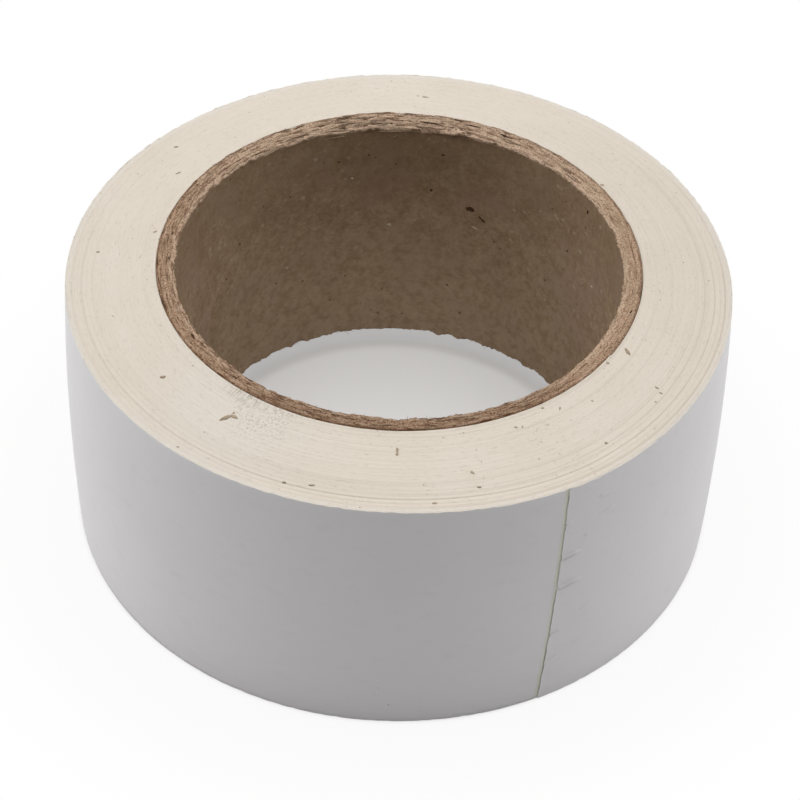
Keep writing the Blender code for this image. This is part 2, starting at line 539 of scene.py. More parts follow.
# %% [markdown]
# ## Wrapping a grid
#
# Every large piece of the roll is a cross-section that runs round the axis. A spin would close each
# turn on itself, but tape does not close: each turn passes under the next. So the pieces start as a
# flat grid, whose columns go round the cross-section and whose rows go along the strip, and each
# point is then carried to its place. Points that land on each other are merged, which closes the
# cross-section and sews each turn to the one inside it. What stays open at the two ends of the
# strip is filled.

# %% A grid carried to its place
MERGE_DISTANCE = 0.0005 * MM


def close_mesh(mesh):
    """Merges points that lie on each other, fills what is still open and turns the faces outwards."""
    bmesh.ops.remove_doubles(mesh, verts=mesh.verts, dist=MERGE_DISTANCE)
    open_edges = [edge for edge in mesh.edges if edge.is_boundary]
    if open_edges:
        for face in bmesh.ops.holes_fill(mesh, edges=open_edges, sides=0)["faces"]:
            face.smooth = False
        for edge in open_edges:
            edge.smooth = False
    bmesh.ops.recalc_face_normals(mesh, faces=mesh.faces)


def wrapped(columns, rows, place, finish_of=None, numbers=()):
    """A closed mesh from a grid. place(column, share) gives a point and the numbers that it carries."""
    mesh = bmesh.new()
    bmesh.ops.create_grid(mesh, x_segments=columns, y_segments=rows, size=0.5)
    layers = [mesh.verts.layers.float.new(name) for name in numbers]
    for face in mesh.faces:
        column = int((face.calc_center_median().x + 0.5) * columns)
        face.material_index = finish_of(column) if finish_of else 0
        face.smooth = True
    for vertex in mesh.verts:
        column = round((vertex.co.x + 0.5) * columns)
        point, *values = place(column, vertex.co.y + 0.5)
        vertex.co = point
        for layer, value in zip(layers, values):
            vertex[layer] = value
    close_mesh(mesh)
    return mesh


print(f"points closer than {MERGE_DISTANCE / MM} mm are merged")

# %% [markdown]
# A mesh becomes a piece of the roll when it has an object, its finishes and a material slot. Where
# it stands for a solid of the frame, that solid is hidden.

# %% A piece of the roll
def finished_piece(name, mesh, finishes, node=None):
    """Turns a mesh into an object with its finishes. It may stand for a node of the frame."""
    data = bpy.data.meshes.new(name)
    mesh.to_mesh(data)
    mesh.free()
    for finish in finishes:
        data.materials.append(finish)
    piece = bpy.data.objects.new(name, data)
    bpy.context.scene.collection.objects.link(piece)
    if node:
        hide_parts(node)
    print(f"{name}: {len(data.polygons)} faces")
    return piece


print("pieces can be finished")

# %% [markdown]
# ## The spiral
#
# The tape is one strip, so one function places all of it. The angle along the strip is counted from
# the cut end, and the radius falls by one film thickness in each turn. The core has been pushed up,
# which lifts the inner turns.

# %% Count the turns
RIM_TAPER = 0.30 * MM
RIM_LAND = 3.0 * MM
LIFT_CURVE = 1.12

rim_radius = roll_radius - RIM_TAPER
turns = round((rim_radius - core_radius) / film_thickness)
turn_step = (rim_radius - core_radius) / turns


def unit(value):
    """A value held between 0 and 1."""
    return max(0.0, min(1.0, value))


def lift(radius):
    """How far the pushed-up core has carried the tape up at this radius."""
    share = (rim_radius - RIM_LAND - radius) / (rim_radius - RIM_LAND - core_radius)
    return core_pushed_up * unit(share) ** LIFT_CURVE


print(f"{turns} turns, one every {turn_step / MM:.3f} mm")

# %% [markdown]
# Each layer's edge wanders up and down by some hundredths of a millimetre, and whole bands of
# layers wander together. Where the edges wander apart, the light catches them as lines. Both are a
# noise along the strip.

# %% Wandering edges
EDGE_WANDER = 0.060 * MM
WANDER_RATE = 0.55
WANDER_SEED = (0.37, 0.71)
BAND_HEIGHT = 0.060 * MM
BAND_TURNS = 3.1
BAND_SEED = (7.3, 1.7)


def strip_noise(place, seed):
    """Noise along the strip. Each seed gives a noise of its own."""
    return noise.noise(Vector((place, *seed)))


def edge_offset(wound):
    """How far the strip's edge lies above or below an even winding."""
    bands = strip_noise(wound / TURN / BAND_TURNS, BAND_SEED)
    wander = strip_noise(wound * WANDER_RATE, WANDER_SEED)
    return BAND_HEIGHT * bands + EDGE_WANDER * wander


print(f"edges wander by up to {(BAND_HEIGHT + EDGE_WANDER) / MM:.2f} mm")

# %% [markdown]
# A few deeper grooves run near the rim, and they are deepest at the front. A groove is given by its
# distance from the rim and its depth, and it fades in and out over about one turn. Fainter arcs
# come and go all over the end face.

# %% Grooves near the rim
GROOVES = (
    (0.45 * MM, 0.55),
    (1.25 * MM, 1.0),
    (2.1 * MM, 0.4),
    (3.0 * MM, 1.0),
    (4.7 * MM, 0.9),
    (6.3 * MM, 0.35),
)
GROOVE_TURNS = 0.55
GROOVE_MIDDLE = math.radians(-76.0)
GROOVE_SPREAD = math.radians(78.0)
GROOVE_LEAST = 0.18
GROOVE_LEVEL = 0.75
GROOVE_BREAKS = 0.5
GROOVE_BREAK_RATE = 0.8
GROOVE_BREAK_SEED = (2.1, 9.4)
ARC_LEVEL = 0.25
ARC_RATE = 0.55
ARC_SEED = (11.3, 4.2)
ARC_LEAST = 0.3
ARC_AT_FRONT = 0.8


def bell(away):
    """1 in the middle, falling off smoothly on both sides."""
    return math.exp(-away * away)


def turned_from(angle, middle):
    """How far an angle lies from another one, the short way round."""
    return (angle - middle + math.pi) % TURN - math.pi


def groove_at(wound):
    """How deep the strip lies in one of the grooves near the rim, from 0 to 1."""
    deepest = max(
        share * bell((wound / TURN - place / turn_step) / GROOVE_TURNS) for place, share in GROOVES
    )
    near_front = bell(turned_from(cut_angle + wound, GROOVE_MIDDLE) / GROOVE_SPREAD)
    strength = GROOVE_LEAST + (1 - GROOVE_LEAST) * near_front
    breaks = GROOVE_LEVEL + GROOVE_BREAKS * strip_noise(wound * GROOVE_BREAK_RATE, GROOVE_BREAK_SEED)
    faint_arc = max(0.0, strip_noise(wound * ARC_RATE, ARC_SEED) - ARC_LEVEL)
    arc_share = ARC_LEAST + ARC_AT_FRONT * strength
    return max(faint_arc * arc_share, deepest * strength * breaks)


print(f"{len(GROOVES)} grooves, the last {GROOVES[-1][0] / MM:.1f} mm in from the rim")

# %% [markdown]
# The wall isn't a true cylinder. It swells a little at mid-height and flares towards the bottom,
# and its upper rim has one broad dent at the back left and one bulge beside the cut end. Each is
# given by its angle, its spread and its amount. All of this fades out towards the core.

# %% Place a point of the tape
WALL_FLARE = 0.58 * MM
WALL_SWELL = 0.68 * MM
OUT_OF_ROUND = (
    (math.radians(128.0), math.radians(30.0), -0.55 * MM),
    (math.radians(-59.0), math.radians(20.0), 0.76 * MM),
)


def round_point(radius, angle, height):
    """A point from its distance to the roll's axis, its angle round it and its height."""
    return Vector((radius * math.cos(angle), radius * math.sin(angle), height))


def out_of_round(angle):
    """How far the upper rim bulges here. Below 0 it is dented."""
    return sum(
        amount * bell(turned_from(angle, middle) / spread) for middle, spread, amount in OUT_OF_ROUND
    )


def tape_point(wound, share, inset=0.0):
    """A point of the tape: the angle wound along the strip, and the share of its width from below."""
    radius = rim_radius - turn_step * wound / TURN - inset
    depth = (radius - core_radius) / (rim_radius - core_radius)
    angle = cut_angle + wound
    swell = WALL_FLARE * (1 - share) + WALL_SWELL * 4 * share * (1 - share)
    swell += out_of_round(angle) * share
    height = max(tape_low, tape_low + share * tape_width + lift(radius) + edge_offset(wound))
    return round_point(radius + depth * swell, angle, height)


print("upper corner of the cut end", [round(value / MM, 2) for value in tape_point(0.0, 1.0)])

# %% [markdown]
# ## The wound tape
#
# All the turns under the last one are one mesh. On the upper end face each layer has a crest and a
# valley, so that the grooves are real shapes and throw real shadows. The lower face, which lies on
# the table, has one point for each layer. The strip starts under the root of the free end, where
# the last turn goes in.

# %% Outline of the wound tape
WALL_STEPS = 16
CORE_SIDE_SHARES = (0.75, 0.5, 0.25)

pack_start = TURN + end_angle
pack_turns = turns - 2
pack_profile = [(half // 2, half % 2 / 2, 1.0) for half in range(2 * pack_turns + 1)]
pack_profile += [(pack_turns, 0.0, share) for share in CORE_SIDE_SHARES]
pack_profile += [(turn, 0.0, 0.0) for turn in range(pack_turns, -1, -1)]
pack_profile += [(0, 0.0, step / WALL_STEPS) for step in range(1, WALL_STEPS)]
print(len(pack_profile), "points in the outline of", pack_turns, "turns")

# %% [markdown]
# Each point also carries the three numbers that the finish of the slit edges reads. A valley is
# always a little dark, because less light gets down into it.

# %% Build the wound tape
PACK_STEPS = 288
GROOVE_DEPTH = 0.16 * MM
VALLEY_DEPTH = 0.045 * MM
VALLEY_SHADE = 0.12
RIM_TURNS = 9
TONE_RATE = 0.9
TONE_SEED = (5.2, 3.3)


def crest(wound):
    """A point on the upper edge of the strip, sunk where a groove runs."""
    point = tape_point(wound, 1.0)
    point.z -= GROOVE_DEPTH * groove_at(wound)
    return point


def pack_place(column, share):
    turn, half, height_share = pack_profile[column % len(pack_profile)]
    wound = pack_start + TURN * (share + turn)
    tone = strip_noise(wound * TONE_RATE, TONE_SEED)
    # rim sets how much painted highlight pales the slit edges near the rim.
    rim = max(0.0, 1 - (share + turn) / RIM_TURNS)
    if height_share < 1.0:
        return tape_point(wound, height_share), 0.0, tone, rim
    if not half:
        return crest(wound), groove_at(wound), tone, rim
    valley = tape_point(wound, 1.0, turn_step / 2)
    valley.z = min(crest(wound).z, crest(wound + TURN).z) - VALLEY_DEPTH
    return valley, max(groove_at(wound), groove_at(wound + TURN), VALLEY_SHADE), tone, rim


wound_mesh = wrapped(len(pack_profile), PACK_STEPS, pack_place, numbers=("groove", "tone", "rim"))
wound_tape = finished_piece("wound_tape", wound_mesh, [slit_edges], "tape_pack")
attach(wound_tape, "roll")

# %% [markdown]
# ## The cut end
#
# The end was torn or cut by hand: it leans a little, wavers, and has small nicks. A nick is given
# by its height and its depth in millimetres.

# %% Line of the cut
CUT_LEAN = 2.0 * MM
CUT_WAVER = 0.17 * MM
CUT_WAVER_RATE = 0.45
CUT_WAVER_SEED = (3.0, 8.0)
CUT_FRACTAL = {"H": 0.8, "lacunarity": 2.0, "octaves": 3}
CUT_NICKS = ((42.5, 0.16), (34.5, 0.22), (28.2, 0.30), (16.5, 0.24), (9.0, 0.18))
NICK_HALF_WIDTH = 0.35


def fractal_noise(place, roughness):
    """Noise with finer noise on top of it."""
    return noise.fractal(place, roughness["H"], roughness["lacunarity"], roughness["octaves"])


def cut_place(height_share):
    """Where the cut lies along the strip at this height, in metres from its middle."""
    height = height_share * tape_width / MM
    place = CUT_LEAN * (height_share - 0.5)
    place += CUT_WAVER * fractal_noise(Vector((height * CUT_WAVER_RATE, *CUT_WAVER_SEED)), CUT_FRACTAL)
    for nick_height, depth in CUT_NICKS:
        place += depth * MM * max(0.0, 1 - abs(height - nick_height) / NICK_HALF_WIDTH)
    return place


print(f"the cut leans {CUT_LEAN / MM:.1f} mm over the width, with {len(CUT_NICKS)} nicks")

# %% [markdown]
# The end was lifted once and pressed back, which left short level creases in the film. So the film
# stands off the layer beneath by about a hundredth of a millimetre along the cut, and by more in
# those creases. A crease is given by its height, its start, its length and its rise, all in
# millimetres.

# %% Creases in the free end
CUT_RAISED = 0.012 * MM
CUT_RAISED_REACH = 0.9
CREASES = (
    (28.5, 0.2, 4.6, 0.43),
    (27.9, 0.4, 3.8, -0.26),
    (35.2, 0.2, 4.2, 0.34),
    (34.7, 0.4, 3.4, -0.18),
    (42.6, 0.2, 1.9, 0.24),
    (38.3, 4.6, 0.7, 0.24),
    (45.6, 7.4, 3.0, 0.22),
    (41.8, 7.6, 2.6, 0.16),
    (17.0, 0.2, 1.6, 0.24),
    (10.3, 0.2, 1.8, 0.20),
    (20.5, 5.6, 1.6, 0.14),
)
CREASE_HALF_WIDTH = 0.22
CREASE_SWAY = 0.12
CREASE_SWAY_RATE = 1.7
CREASE_STARTS = 4.0
CREASE_FADES = 2.6


def end_raised(along, height):
    """How far the free end stands off, at a distance along it and a height, both in millimetres."""
    from_edge = along - cut_place(height * MM / tape_width) / MM
    raised = CUT_RAISED * math.exp(-max(0.0, from_edge) / CUT_RAISED_REACH)
    for crease_height, start, length, rise in CREASES:
        into = (along - start) / length
        inside = unit(1 + into * CREASE_STARTS) * unit((1 - into) * CREASE_FADES)
        sway = CREASE_SWAY * math.sin(along * CREASE_SWAY_RATE + crease_height)
        raised += rise * MM * inside * bell((height - crease_height - sway) / CREASE_HALF_WIDTH)
    return raised


print(len(CREASES), "creases, the longest", max(length for _, _, length, _ in CREASES), "mm")

# %% [markdown]
# ## A strip of film
#
# The last turn and the free end are the same film, so one function makes both. The cross-section
# goes up the face, over the slit upper edge, down the sticky side and back under. The face is not
# quite flat: it undulates by a few hundredths of a millimetre, as film does over a hundred others.
# The slit edges are frayed, and the upper corner of the cut end stands up a little.

# %% Fraying and waves of the film
EDGE_RAGGED = 0.22 * MM
RAGGED_SIZE = 1.2
RAGGED_SEED = (6.1, 2.9)
RAGGED_FRACTAL = {"H": 0.7, "lacunarity": 2.3, "octaves": 3}
CORNER_RISE = 0.38 * MM
CORNER_REACH = 0.7
CORNER_NARROWING = 60
FACE_WAVE = 0.030 * MM
FACE_WAVE_SIZE = 9.0 * MM


def face_wave(point):
    return FACE_WAVE * noise.noise(point / FACE_WAVE_SIZE)


def edge_ragged(along):
    """Small nicks of the slit edge, at a distance along the strip in millimetres."""
    return EDGE_RAGGED * fractal_noise(Vector((along / RAGGED_SIZE, *RAGGED_SEED)), RAGGED_FRACTAL)


def corner_rise(from_cut, height_share):
    """How far the upper corner of the cut end stands up, at a distance from the cut in millimetres."""
    near_cut = math.exp(-max(0.0, from_cut) / CORNER_REACH)
    return CORNER_RISE * near_cut * height_share ** CORNER_NARROWING


print(f"the corner of the cut end stands up by {corner_rise(0.0, 1.0) / MM:.2f} mm")

# %% [markdown]
# The strip's own grid has one column for each point of the cross-section. Which finish a column
# gets follows from the side that it lies on. Each point carries its distance from the cut, which is
# counted anew where the last turn passes beneath the free end.

# %% A closed strip of film
EDGE_ROUND = 0.025 * MM
EDGE_SHARES = (0.3, 0.7)
EDGE_NARROWING = 8
FILM_SHARE = 0.86

film_solid = film_thickness * FILM_SHARE
FILM_FACE, FILM_EDGE, FILM_STICKY = range(3)
film_finishes = [white_film, slit_edges, adhesive_coat]


def film_strip(rows, steps, wound_at, raise_at):
    """A strip of film. wound_at gives the angle along it, raise_at its distance off the layer beneath."""
    profile = [(step / steps, 0.0, 0.0) for step in range(steps + 1)]
    profile += [(1.0, film_solid * across, EDGE_ROUND) for across in EDGE_SHARES]
    profile += [(step / steps, film_solid, 0.0) for step in range(steps, -1, -1)]
    profile += [(0.0, film_solid * across, -EDGE_ROUND) for across in reversed(EDGE_SHARES)]
    sticky_start = steps + len(EDGE_SHARES) + 1

    def finish_of(column):
        if column < steps:
            return FILM_FACE
        return FILM_STICKY if sticky_start <= column < sticky_start + steps else FILM_EDGE

    def place(column, share):
        height_share, inset, proud = profile[column % len(profile)]
        wound = wound_at(share, height_share)
        along = roll_radius * wound / MM
        is_free_end = wound < math.pi
        whole_turns = 0.0 if is_free_end else roll_radius * TURN / MM
        from_cut = along - whole_turns - cut_place(height_share) / MM
        raised = raise_at(along, height_share * tape_width / MM)
        point = tape_point(wound, height_share, inset - raised)
        proud += edge_ragged(along) * abs(2 * height_share - 1) ** EDGE_NARROWING
        if is_free_end:
            proud += corner_rise(from_cut, height_share)
        point.z = max(tape_low, point.z + proud)
        outward = Vector((point.x, point.y, 0.0)).normalized()
        point += outward * face_wave(point)
        return point, 0.0, 0.0, 1.0, from_cut

    return wrapped(len(profile), rows, place, finish_of, ("groove", "tone", "rim", "from_cut"))


print(f"film {film_solid / MM:.3f} mm thick without its adhesive")

# %% [markdown]
# ## The last turn
#
# It runs from the root of the free end right round the roll and in under the free end, one film
# thickness deeper. It lies flat, so nothing raises it.

# %% Build the last turn
LAST_TURN_STEPS = 420
LAST_TURN_FACE_STEPS = 48


def last_turn_wound(share, height_share):
    return end_angle + TURN * share


def lies_flat(along, height):
    return 0.0


last_mesh = film_strip(LAST_TURN_STEPS, LAST_TURN_FACE_STEPS, last_turn_wound, lies_flat)
last_turn = finished_piece("last_turn_film", last_mesh, film_finishes, "last_turn")
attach(last_turn, "roll")

# %% [markdown]
# ## The free end
#
# Three strips stand for the three links. They are cut half-way between the hinge lines, so that
# each of the two outer ones can bend evenly on both sides of its hinge and the peeled end curls as
# one ribbon. The first strip bends only beyond its hinge, because behind it the film lies on the
# roll, and it bends sharply there, as tape does where it leaves the roll.

# %% Build the free end
END_STEPS = 44
END_FACE_STEPS = 330
BEND_SHARE = 0.34
ROOT_BEND_SHARE = 0.16


def turned_about_axis(point, angle):
    return Matrix.Rotation(angle, 4, "Z") @ point


def build_link(parent, body):
    """One strip of the free end, which bends about the hinge between two bodies."""
    is_root = parent == "roll"
    hinge = hinge_angles[body] - cut_angle
    near = hinge if is_root else hinge + 0.5 * link_angle
    far = hinge - 0.5 * link_angle

    def link_wound(share, height_share):
        outer = cut_place(height_share) / roll_radius if body == "end_tip" else far
        return outer + (near - outer) * share

    mesh = film_strip(END_STEPS, END_FACE_STEPS, link_wound, end_raised)
    piece = finished_piece("tape_" + body + "_film", mesh, film_finishes, "tape_" + body)
    reach_back = 0.0 if is_root else BEND_SHARE
    reach_out = ROOT_BEND_SHARE if is_root else BEND_SHARE
    bend_start = turned_about_axis(hinge_points[body], reach_back * link_angle)
    bend_end = turned_about_axis(hinge_points[body], -reach_out * link_angle)
    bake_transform(piece, parent, body, start=bend_start, end=bend_end)


chain = ("roll", "end_root", "end_middle", "end_tip")
for parent, body in zip(chain, chain[1:]):
    build_link(parent, body)

# %% [markdown]
# ## The core's plies
#
# Each ply is a paper tube. The bore and the outside are nearly true, and the lines between the
# plies waver. All of this unevenness is noise that is read on a circle, so that it closes on itself
# round the tube.

# %% Walls of the plies
PLY_WAVER = 0.22 * MM
PLY_WAVER_SIZE = 9.0 * MM
PLY_WAVER_SEED = 20.0
BORE_WAVE = 0.10 * MM
BORE_WAVE_SIZE = 11.0 * MM
BORE_WAVE_HEIGHT = 14 * MM
ROUND_FRACTAL = {"H": 0.7, "lacunarity": 2.1, "octaves": 3}

ply_names = ("core_inner_ply", "core_middle_ply", "core_outer_ply")
ply_wall = (core_radius - bore_radius) / len(ply_names)


def round_noise(angle, radius, size, seed):
    """Noise that closes on itself round a circle, with features of about this size."""
    return fractal_noise(round_point(radius / size, angle, seed), ROUND_FRACTAL)


def ply_line(index, angle):
    """Radius of a line between plies. The first and the last line are true, those between waver."""
    radius = bore_radius + index * ply_wall
    if 0 < index < len(ply_names):
        radius += PLY_WAVER * round_noise(angle, radius, PLY_WAVER_SIZE, PLY_WAVER_SEED + index)
    return radius


def bore_wall(angle, height):
    """Radius of the bore's wall, which is not quite true."""
    seed = height / BORE_WAVE_HEIGHT
    return bore_radius + BORE_WAVE * round_noise(angle, bore_radius, BORE_WAVE_SIZE, seed)


print(f"{len(ply_names)} plies of {ply_wall / MM:.2f} mm")

# %% [markdown]
# The tube was sawn to length, so its ends are rough: strands are torn up with cracks between them.
# The strands are a noise drawn out round the tube. The same noise marks the cracks, so that the
# dark lines, which are painted shade, lie where the surface is deep.

# %% Strands and cracks of a sawn end
END_WAVE = 0.14 * MM
END_WAVE_SIZE = 6.0 * MM
END_WAVE_SEED = 3.7
STRAND_HEIGHT = 0.24 * MM
STRAND_LENGTH = 2.8 * MM
STRAND_WIDTH = 0.30 * MM
STRAND_SEED = 30.0
STRAND_FRACTAL = {"H": 0.6, "lacunarity": 2.2, "octaves": 4}
CRACK_START = 0.20
CRACK_RANGE = 0.40
CRACK_DARKEST = 0.75


def strand_relief(angle, radius, side):
    """Height of the strands torn up on a sawn end. It is below 0 in the cracks between them."""
    across = radius / STRAND_WIDTH + STRAND_SEED * side
    return fractal_noise(round_point(radius / STRAND_LENGTH, angle, across), STRAND_FRACTAL)


def end_height(angle, radius, side):
    """How far a sawn end stands proud at this place, and how much painted shade darkens the crack there."""
    relief = strand_relief(angle, radius, side)
    wave = END_WAVE * round_noise(angle, bore_radius, END_WAVE_SIZE, END_WAVE_SEED * side)
    crack = max(0.0, min(CRACK_DARKEST, (-relief - CRACK_START) / CRACK_RANGE))
    return wave + STRAND_HEIGHT * relief, crack


print(f"strands stand up by about {STRAND_HEIGHT / MM:.2f} mm")

# %% [markdown]
# The upper end is torn worst at the back. There it has sunk towards the bore, and its torn strands
# hang down the wall of the bore. Both are given by their least and greatest depth round the tube.

# %% Sunken and torn edge of the bore
TORN_MIDDLE = math.radians(95.0)
TORN_SPREAD = math.radians(50.0)
FRINGE_DEPTHS = (0.25 * MM, 0.6 * MM)
FRINGE_RAGGED = 0.8
FRINGE_SIZE = 2.2 * MM
FRINGE_SEED = 70.0
SLUMP_DEPTHS = (0.40 * MM, 1.35 * MM)
SLUMP_RAGGED = 0.45
SLUMP_SIZE = 2.4 * MM
SLUMP_SEED = 90.0
SLUMP_REACH = 2.3 * MM
SLUMP_CURVE = 1.3


def torn_depth(angle, depths, ragged):
    """A depth between two, by how badly the end is torn here: most at the back."""
    least, most = depths
    share = bell(turned_from(angle, TORN_MIDDLE) / TORN_SPREAD)
    return (least + (most - least) * share) * ragged


def fringe_depth(angle):
    """How far torn strands reach down the wall of the bore."""
    ragged = 1 + FRINGE_RAGGED * round_noise(angle, bore_radius, FRINGE_SIZE, FRINGE_SEED)
    return torn_depth(angle, FRINGE_DEPTHS, ragged)


def slump(angle, radius):
    """How far the torn end has sunk towards the bore at this place."""
    inward = unit(1 - (radius - bore_radius) / SLUMP_REACH)
    ragged = 1 + SLUMP_RAGGED * round_noise(angle, bore_radius, SLUMP_SIZE, SLUMP_SEED)
    return torn_depth(angle, SLUMP_DEPTHS, ragged) * inward ** SLUMP_CURVE


def sawn_height(angle, radius):
    """Height of the upper sawn end at this place."""
    return core_high + end_height(angle, radius, 1)[0] - slump(angle, radius)


print(f"at the back the bore's edge has sunk {slump(TORN_MIDDLE, bore_radius) / MM:.2f} mm")

# %% [markdown]
# A ply's outline goes up its inner side, across the upper end, down its outer side and back across
# the lower end. Rows lie close together near the two edges, where the paper is ragged, and the
# inner ply has more of them because its inner side shows.

# %% Outline of a ply
LIP_ROWS = (0.2 * MM, 0.45 * MM, 0.75 * MM, 1.1 * MM, 1.5 * MM)
BORE_STEPS = 28
HIDDEN_STEPS = 4
END_STEPS_ACROSS = 8


def ply_profile(index):
    """Points of the outline, each with its share across the ply and its share of the height."""
    lip_rows = [row / tape_width for row in LIP_ROWS]
    side_steps = BORE_STEPS if index == 0 else HIDDEN_STEPS
    side_rows = [step / side_steps for step in range(1, side_steps)]
    rows = [0.0] + lip_rows + side_rows + [1 - row for row in reversed(lip_rows)] + [1.0]
    profile = [(0.0, row) for row in rows]
    profile += [(step / END_STEPS_ACROSS, 1.0) for step in range(1, END_STEPS_ACROSS + 1)]
    profile += [(1.0, 1 - step / HIDDEN_STEPS) for step in range(1, HIDDEN_STEPS + 1)]
    profile += [(1 - step / END_STEPS_ACROSS, 0.0) for step in range(1, END_STEPS_ACROSS)]
    return profile


print([len(ply_profile(index)) for index in range(len(ply_names))], "points in the outlines of the plies")

# %% [markdown]
# The points of an outline are then pushed about: the ends by the strands, the lower end by coarse
# and fine tears, and the edge of the bore by tufts. A tear or a tuft is given by its share, its
# size and the seed of its noise.

# %% Build the plies
PLY_STEPS = 600
PLY_GAP = 0.02 * MM
SLUMP_FOLLOW = 6.0 * MM
LOWER_RAGGED = 0.55 * MM
LOWER_TEARS = ((1.0, 2.6 * MM, 60.0), (0.5, 0.7 * MM, 80.0))
PLY_SEED_STEP = 3
LIP_RAGGED = 0.34 * MM
LIP_TUFTS = ((1.0, 0.9 * MM, 40.0), (0.6, 4.0 * MM, 44.0))
LIP_REACH = 0.9 * MM
FRINGE_FADE = 0.3 * MM


def lip_tufts(angle, side):
    return sum(share * round_noise(angle, bore_radius, size, seed * side) for share, size, seed in LIP_TUFTS)


def build_ply(index, node):
    profile = ply_profile(index)

    def place(column, share):
        across, up = profile[column % len(profile)]
        angle = TURN * share
        inner = ply_line(index, angle)
        outer = ply_line(index + 1, angle) - PLY_GAP
        radius = inner + across * (outer - inner)
        height = core_low + up * tape_width
        from_top = (1 - up) * tape_width
        side = 1 if up > 0.5 else -1
        is_end = up in (0.0, 1.0)
        cut_end = float(is_end)
        crack = 0.0
        if is_end:
            proud, crack = end_height(angle, radius, side)
            height += side * proud
        if side > 0:
            height -= slump(angle, radius) * max(0.0, 1 - from_top / SLUMP_FOLLOW)
        if is_end and side < 0:
            for tear, size, seed in LOWER_TEARS:
                torn = round_noise(angle, bore_radius, size, seed + PLY_SEED_STEP * index)
                height += tear * LOWER_RAGGED * torn
        if across == 0.0 and index == 0:
            near_lip = max(0.0, 1 - min(up, 1 - up) * tape_width / LIP_REACH)
            tufts = lip_tufts(angle, side)
            radius = bore_wall(angle, height) - near_lip * LIP_RAGGED * tufts
            if is_end:
                height -= side * LIP_RAGGED * abs(tufts)
            elif side > 0:
                cut_end = unit((fringe_depth(angle) - from_top) / FRINGE_FADE)
        return round_point(radius, angle, height), cut_end, crack

    mesh = wrapped(len(profile), PLY_STEPS, place, numbers=("cut_end", "crack"))
    piece = finished_piece(node + "_board", mesh, [paperboard], node)
    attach(piece, "roll")


for index, node in enumerate(ply_names):
    build_ply(index, node)

# %% [markdown]
# ## Putting things where the photograph shows them
#
# Crumbs of board lie on the upper face, and darker bits stick in the paper of the bore. To put one
# where a pixel of the photograph shows it, a ray goes from the eye through that pixel and meets the
# cone of the upper face, or the far side of the bore.

# %% From a pixel to the upper face and the bore
FACE_ROUNDS = 12
RIM_FRONT = (400, 505)


def pixel_ray(pixel_x, pixel_y):
    centre = IMAGE_SIDE / 2
    return eye_right * (pixel_x - centre) - eye_up * (pixel_y - centre) - eye_back * FOCAL_PIXELS


def face_height(x, y):
    """Height of the layer of tape that lies at this place on the upper end face."""
    angle = math.atan2(y, x)
    turned = (angle - cut_angle) % TURN
    stretch = 1 + out_of_round(angle) / (rim_radius - core_radius)
    inward = rim_radius - core_radius - (math.hypot(x, y) - core_radius) / stretch
    layer = round(inward / turn_step - turned / TURN)
    return crest(turned + TURN * max(0, layer)).z


def on_upper_face(pixel_x, pixel_y):
    """The place on the upper end face that this pixel of the photograph shows."""
    ray = pixel_ray(pixel_x, pixel_y)
    height = tape_low + tape_width
    for _ in range(FACE_ROUNDS):
        point = eye + ray * ((height - eye.z) / ray.z)
        height = face_height(point.x, point.y)
    return point


def on_bore(pixel_x, pixel_y):
    """The place on the far side of the bore that this pixel of the photograph shows."""
    ray = pixel_ray(pixel_x, pixel_y)
    along_ray = ray.x * ray.x + ray.y * ray.y
    half = eye.x * ray.x + eye.y * ray.y
    rest = eye.x * eye.x + eye.y * eye.y - bore_radius * bore_radius
    return eye + ray * ((-half + math.sqrt(half * half - along_ray * rest)) / along_ray)


print("front of the rim lies at", [round(value / MM, 1) for value in on_upper_face(*RIM_FRONT)])

# %% [markdown]
# ## Crumbs and scraps
#
# The larger crumbs are read from the photograph: a pixel, a length and a width in millimetres, and
# the way they lie in degrees.

# %% Where the crumbs lie
CRUMBS = (
    (226, 417.5, 2.3, 0.9, 25),
    (234.5, 417, 1.8, 0.7, -30),
    (233.5, 413, 0.5, 0.3, 0),
    (602, 185, 0.9, 0.6, 40),
    (397, 450, 0.5, 1.7, 5),
    (397, 454.5, 0.6, 0.5, 20),
    (425, 97, 1.5, 0.7, -5),
    (418, 96, 0.6, 0.4, 0),
    (176, 147, 1.0, 0.6, 30),
    (178, 173, 1.2, 0.5, 20),
    (155, 232, 0.8, 0.4, 10),
    (163, 377, 1.1, 0.7, 0),
    (284, 483, 0.9, 0.5, 10),
    (312, 485, 1.2, 0.5, 0),
    (435, 503, 0.9, 0.5, 5),
    (472, 472, 1.2, 0.5, -40),
    (479, 487, 0.8, 0.5, 0),
    (98, 252, 0.7, 0.5, 0),
    (628, 352, 1.7, 0.7, -60),
    (608, 363, 0.8, 0.5, 20),
    (606, 443, 0.6, 0.4, 0),
    (657, 388, 0.7, 0.4, -30),
    (516, 427, 0.7, 0.4, 0),
    (178, 447, 0.6, 0.4, 0),
    (522.5, 427, 0.3, 0.7, 10),
    (542.5, 408, 0.5, 0.3, 0),
    (560, 408, 0.25, 0.9, -10),
    (592.5, 401, 0.6, 0.3, -30),
    (661, 393, 0.9, 0.3, -25),
    (655.5, 402, 0.4, 0.25, 0),
)
print(len(CRUMBS), "crumbs on the end face")

# %% [markdown]
# The scraps in the bore are read the same way. The pits of the sawn end are dark flakes laid where
# shade falls, which is painted shade. They lie along the tube, so they need no turn.

